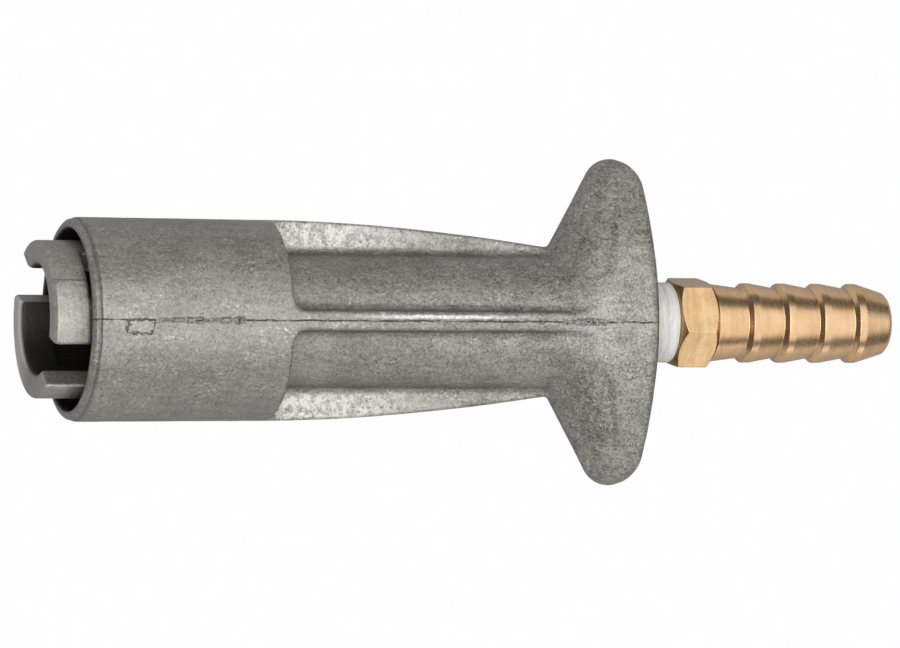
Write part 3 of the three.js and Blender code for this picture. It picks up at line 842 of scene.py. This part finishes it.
def broken_gate(n, level, color, torn):
    """The pale patch where the gate broke off beside the seam, with a ragged dark rim."""
    station, y, z = n.axes()
    ragged = n.math("MULTIPLY", n.math("SUBTRACT", n.noise(0.6, 4, 0.75), 0.5), 2.2)
    gate = n.math("MULTIPLY", n.window(n.math("ADD", station, ragged), *GATE, 0.3),
                  n.window(n.math("ADD", y, ragged), *GATE_ACROSS, 0.3))
    gate = n.math("MULTIPLY", gate, n.ramp(z, 0, 1))
    rim = n.math("MULTIPLY", n.math("SUBTRACT", 1.0, gate), gate)
    rim = n.math("MULTIPLY", rim, n.ramp(torn, 0.35, 0.6, 0.6, 3.6))
    rim = n.math("MULTIPLY", rim, n.ramp(y, -0.9, 0.3, 1.0, 0.3), clamp=True)
    color = n.mix(n.math("MULTIPLY", gate, 0.2), color, grey(level * 1.6, 0.03))
    return gate, n.mix(n.math("MULTIPLY", rim, 0.85), color, grey(level * 0.25, 0.05))


def parting_marks(n, level, color, layers):
    """What the die leaves on the casting: a crease at the lip, the seam, its flash and the gate, with
    painted shade in the crease and a painted highlight beside the seam.
    """
    _, y, z = n.axes()
    outside = n.ramp(n.math("ABSOLUTE", z), 8.5, 9.0)
    wander = n.math("MULTIPLY", n.math("SUBTRACT", n.noise(1.6, 4, 0.7), 0.5), 0.5)
    seam_y = n.math("ADD", y, wander)
    torn = n.noise(0.45, 3, 0.8)
    crease, color = lip_crease_with_painted_shade(n, level, color)
    seam, ledge, color = seam_line(n, level, color, outside, seam_y, torn)
    flash, color = seam_flash(n, level, color, outside, seam_y, torn)
    gate, color = broken_gate(n, level, color, torn)
    layers += [(n.math("MULTIPLY", seam, -1.0), 0.10), (ledge, 0.06),
               (n.math("MULTIPLY", crease, -1.0), 0.12),
               (n.math("MULTIPLY", flash, torn), 0.5), (gate, 0.12)]
    return color


def painted_shade_on_rear_edge(n, level, color):
    """Painted shade on the edge round the casting's rear face, a little darker than the rest."""
    edge = n.ramp(n.axes()[0], CASTING_REAR - 0.8, CASTING_REAR - 0.3)
    return n.mix(n.math("MULTIPLY", edge, 0.6), color, grey(level * 0.25, 0.06))


def collar_painted_light_and_shade(n, level, color):
    """Painted shade in thin dark strokes along the edges of the collar's raised pads, and a painted
    highlight on its far front edge.
    """
    station, _, z = n.axes()
    # Painted highlight: the far side of the front face is mixed towards a light grey.
    painted_front_highlight = n.math("MULTIPLY", n.ramp(station, 0.3, 0.6, 1.0, 0.0), n.ramp(z, -3.5, -7.5))
    color = n.mix(n.math("MULTIPLY", painted_front_highlight, 0.8), color, grey(0.85, 0.02))
    # Painted shade: thin dark strokes at the front and rear edges of the raised pads, where each step casts
    # a line.
    raised = n.ramp(n.radius(), COLLAR_RADIUS - 0.12, COLLAR_RADIUS - 0.06)
    front = n.window(station, 0.1, 0.2, 0.1)
    rear = n.window(station, BRANCH_FRONT - 0.5, BRANCH_FRONT - 0.4, 0.1)
    painted_pad_edge_shade = n.math("MULTIPLY", n.math("ADD", front, rear), raised)
    return n.mix(n.math("MULTIPLY", painted_pad_edge_shade, 0.6), color, grey(level * 0.25, 0.05))


def cast_metal(name, level, hollow_radius, hollow_rear, marks):
    """Bare die-cast metal, black in its hollow with tarnish and painted shade, and painted darker towards
    its outlines: the casting with its die marks, or else the collar.
    """
    n = Nodes(name)
    if marks:
        contrast = n.ramp(n.axes()[0], SHROUD_REAR, NECK, 0.65, 1.05)
        color, layers, rough = mottled(n, level, contrast, painted_glint_strength=0.7)
        color = painted_light_on_rib_sides(n, level, color)
        color = parting_marks(n, level, color, layers)
        color = painted_shade_on_rear_edge(n, level, color)
    else:
        color, layers, rough = mottled(n, level, 0.5, painted_glint_strength=0.2)
        color = collar_painted_light_and_shade(n, level, color)
    # Black in the hollow: partly tarnish, partly painted shade where little light reaches.
    inside = n.ramp(n.radius(), hollow_radius + 0.1, hollow_radius + 0.35, 1.0, 0.0)
    inside = n.math("MULTIPLY", inside, n.ramp(n.axes()[0], hollow_rear, hollow_rear + 1, 0.93, 0.0))
    color = n.mix(inside, color, grey(0.025, 0.05))
    # Painted shade: darker where the surface turns away from the camera, towards its outlines.
    facing_for_outline_shade = n.new("ShaderNodeLayerWeight", {"Blend": 0.5}).outputs["Facing"]
    color = n.mix(n.ramp(facing_for_outline_shade, 0.3, 0.95, 0.0, 0.5), color, grey(0.03, 0.05))
    n.bump(layers)
    return n.finish(Base_Color=color, Metallic=0.82, Roughness=rough)


def turned_brass(name, light, dark, blush=None):
    """Turned brass: fine rings about the axis, faint tarnish, a redder barb if asked, and painted shade
    where the surface turns away from the camera.
    """
    n = Nodes(name)
    lathe = n.noise(0.12, 3, 0.6, stretch=(1, 0.02, 0.02))
    bands = n.noise(0.9, 3, 0.6, stretch=(1, 0.05, 0.05))
    tarnish = n.noise(2.6, 5, 0.65)
    speck = n.noise(0.3, 3, 0.6)
    tone = n.math("ADD", n.math("MULTIPLY", tarnish, 0.45), n.math("MULTIPLY", bands, 0.35))
    tone = n.ramp(n.math("ADD", tone, n.math("MULTIPLY", speck, 0.2)), 0.42, 0.58)
    color = n.mix(tone, dark, light)
    if blush is not None:
        barb = n.ramp(n.axes()[0], HEX_REAR - 0.1, HEX_REAR + 0.1)
        color = n.mix(barb, color, n.mix(tone, n.mix(0.7, blush, dark), blush))
    # Painted shade: darker and browner where the surface turns away from the camera.
    facing_for_brass_shade = n.new("ShaderNodeLayerWeight", {"Blend": 0.5}).outputs["Facing"]
    color = n.mix(n.ramp(facing_for_brass_shade, 0.43, 0.85, 0.0, 0.92), color, n.mix(0.55, dark, (0.1, 0.045, 0.02, 1)))
    rough = n.ramp(n.math("ADD", lathe, speck), 0.7, 1.3, 0.24, 0.34)
    n.bump([(lathe, 0.003), (bands, 0.012)])
    return n.finish(Base_Color=color, Metallic=1.0, Roughness=rough)


def drawn_steel():
    n = Nodes("drawn_steel")
    haze = n.noise(1.2, 4, 0.6)
    scratch = n.noise(0.15, 3, 0.7, stretch=(1, 0.2, 0.2))
    color = n.mix(n.ramp(haze, 0.35, 0.65), grey(0.34), grey(0.55, -0.02))
    n.bump([(scratch, 0.01)])
    return n.finish(Base_Color=color, Metallic=1.0, Roughness=n.ramp(scratch, 0.3, 0.7, 0.22, 0.4))


def black_rubber():
    n = Nodes("black_rubber")
    dust = n.noise(0.8, 5, 0.7)
    skin_grain = n.noise(0.12, 3, 0.7)
    color = n.mix(n.ramp(dust, 0.45, 0.7), grey(0.012), grey(0.045, 0.05))
    n.bump([(skin_grain, 0.012), (dust, 0.02)])
    return n.finish(Base_Color=color, Roughness=n.ramp(dust, 0.3, 0.7, 0.5, 0.75))


def sealing_tape():
    n = Nodes("sealing_tape")
    fibre = n.noise(0.12, 4, 0.7, stretch=(1, 0.08, 0.08))
    cloud = n.noise(1.5, 4, 0.6)
    fold = n.noise(0.5, 3, 0.6, stretch=(1, 0.05, 0.05))
    tone = n.ramp(n.math("ADD", fibre, fold), 0.8, 1.2)
    color = n.mix(tone, (0.60, 0.59, 0.56, 1), (0.90, 0.89, 0.87, 1))
    n.bump([(fibre, 0.03), (fold, 0.05), (cloud, 0.03)])
    return n.finish(Base_Color=color, Roughness=0.5, Subsurface_Weight=0.25,
                    Subsurface_Radius=(0.001, 0.001, 0.001), Subsurface_Scale=0.6)


# Assembly ------------------------------------------------------------------------------------

def put(piece, node, body, material):
    """Gives a piece its material, and puts it in the place of a CAD node on a body."""
    piece.data.materials.append(material)
    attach(piece, body)
    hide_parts(node)
    return piece


def build():
    casting_metal = cast_metal("casting_metal", 0.34, CAVITY_RADIUS, SHROUD_REAR - 4, marks=True)
    collar_metal = cast_metal("collar_metal", 0.42, SOCKET_RADIUS, SHROUD_REAR, marks=False)
    brass = turned_brass("turned_brass", (0.72, 0.52, 0.24, 1), (0.55, 0.36, 0.14, 1))
    fitting_brass = turned_brass(
        "fitting_brass", (0.84, 0.59, 0.33, 1), (0.66, 0.42, 0.20, 1), blush=(0.86, 0.58, 0.35, 1))
    steel = drawn_steel()
    rubber = black_rubber()
    put(body_casting(), "body_casting", "casting", casting_metal)
    put(bayonet_collar(), "bayonet_collar", "casting", collar_metal)
    put(hose_barb_fitting(), "hose_barb_fitting", "casting", fitting_brass)
    put(thread_tape(), "thread_tape", "casting", sealing_tape())
    put(open_ring("collar_retaining_ring", 1.65, math.radians(30), -math.pi / 2),
        "collar_retaining_ring", "casting", steel)
    for node in ("collar_dowel_upper", "collar_dowel_lower"):
        put(dowel(node), node, "casting", steel)
    put(seal_plunger(), "seal_plunger", "plunger", brass)
    put(face_seal(), "face_seal", "plunger", rubber)
    put(rubber_ring("plunger_o_ring"), "plunger_o_ring", "plunger", rubber)
    put(drilled_retainer(), "valve_spring_retainer", "plunger", brass)
    put(open_ring("retainer_clip", 1.1, math.radians(50), 0.0), "retainer_clip", "plunger", steel)
    put(valve_poppet(), "valve_poppet", "poppet", brass)
    put(rubber_ring("poppet_o_ring"), "poppet_o_ring", "poppet", rubber)
    sprung("plunger_spring", 0.6, 6, "casting", steel)
    sprung("valve_spring", 0.28, 6, "plunger", steel)


def sprung(node, wire, turns, body, material):
    """A coiled spring in the place of a CAD spring, with a mesh of its own."""
    low, high = extent(node)
    piece = put(coil(node, wire, turns), node, body, material)
    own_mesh(piece)


# Studio --------------------------------------------------------------------------------------

def plain_floor():
    """A pale floor, lit from within as the camera sees it, and soft grey to the metal."""
    z = cad_bounds[0][2]
    half = 1.5
    mesh = bpy.data.meshes.new("floor")
    corners = [(-half, -half, z), (half, -half, z), (half, half, z), (-half, half, z)]
    mesh.from_pydata(corners, [], [(0, 1, 2, 3)])
    floor = bpy.data.objects.new("floor", mesh)
    bpy.context.scene.collection.objects.link(floor)
    n = Nodes("pale_floor")
    fibre = n.noise(3.0, 4, 0.6)
    color = n.mix(n.ramp(fibre, 0.3, 0.7), (0.985, 0.985, 0.985, 1), (1.0, 1.0, 1.0, 1))
    glow = n.new("ShaderNodeEmission", {"Color": color, "Strength": 1.0})
    seen = n.new("ShaderNodeLightPath").outputs["Is Camera Ray"]
    dim = n.new("ShaderNodeBsdfDiffuse", {"Color": grey(0.65)})
    mix = n.new("ShaderNodeMixShader", {0: seen, 1: dim.outputs[0], 2: glow.outputs[0]})
    n.tree.nodes.remove(n.shader)
    n.set(n.tree.nodes["Material Output"].inputs["Surface"], mix.outputs[0])
    mesh.materials.append(n.material)


def softbox(name, place, size, watts):
    """An area light aimed at the connector."""
    light = bpy.data.lights.new(name, "AREA")
    light.shape = "RECTANGLE"
    light.size, light.size_y = size
    light.energy = watts
    lamp = bpy.data.objects.new(name, light)
    lamp.location = place
    lamp.rotation_euler = (-Vector(place)).to_track_quat("-Z", "Y").to_euler()
    bpy.context.scene.collection.objects.link(lamp)


def studio():
    """A wide white ceiling over a dark band, a soft key light, and a little fill."""
    world = bpy.data.worlds.new("studio")
    bpy.context.scene.world = world
    world.use_nodes = True
    tree = world.node_tree
    background = tree.nodes["Background"]
    background.inputs["Color"].default_value = (1, 1, 1, 1)
    direction = tree.nodes.new("ShaderNodeTexCoord")
    tilt = math.radians(12)
    height = tree.nodes.new("ShaderNodeVectorMath")
    height.operation = "DOT_PRODUCT"
    height.inputs[1].default_value = (math.sin(tilt), 0, math.cos(tilt))
    tree.links.new(direction.outputs["Generated"], height.inputs[0])
    ceiling = tree.nodes.new("ShaderNodeMapRange")
    ceiling.interpolation_type = "SMOOTHSTEP"
    for key, value in (("From Min", 0.58), ("From Max", 0.68), ("To Min", 0.10), ("To Max", 1.15)):
        ceiling.inputs[key].default_value = value
    tree.links.new(height.outputs["Value"], ceiling.inputs["Value"])
    tree.links.new(ceiling.outputs[0], background.inputs["Strength"])
    softbox("key_light", (-0.28, 0.0, 0.9), (0.9, 0.4), 3)
    softbox("side_light", (0.3, -0.85, 0.13), (0.5, 0.26), 0.5)


def camera():
    """A long lens above the connector, leaning towards its mouth."""
    lean = math.radians(18.6)
    distance = 1.0
    pixels_per_mm = 7.466
    aim = Vector((-2.25, -0.351, 0)) * MM
    back = Vector((-math.sin(lean), 0, math.cos(lean)))
    right = Vector((math.cos(lean), 0, math.sin(lean)))
    up = Vector((0, 1, 0))
    rotation = Matrix((right, up, back)).transposed().to_4x4()
    roll = Matrix.Rotation(math.radians(0.296), 4, "Z")
    data = bpy.data.cameras.new("camera")
    data.sensor_width = 36
    data.lens = 36 * pixels_per_mm * distance / MM / 900
    data.clip_end = 10
    view = bpy.data.objects.new("camera", data)
    view.matrix_world = Matrix.Translation(aim + back * distance) @ rotation @ roll
    bpy.context.scene.collection.objects.link(view)
    bpy.context.scene.camera = view


build()
plain_floor()
studio()
camera()
bpy.context.scene.view_settings.view_transform = "Standard"
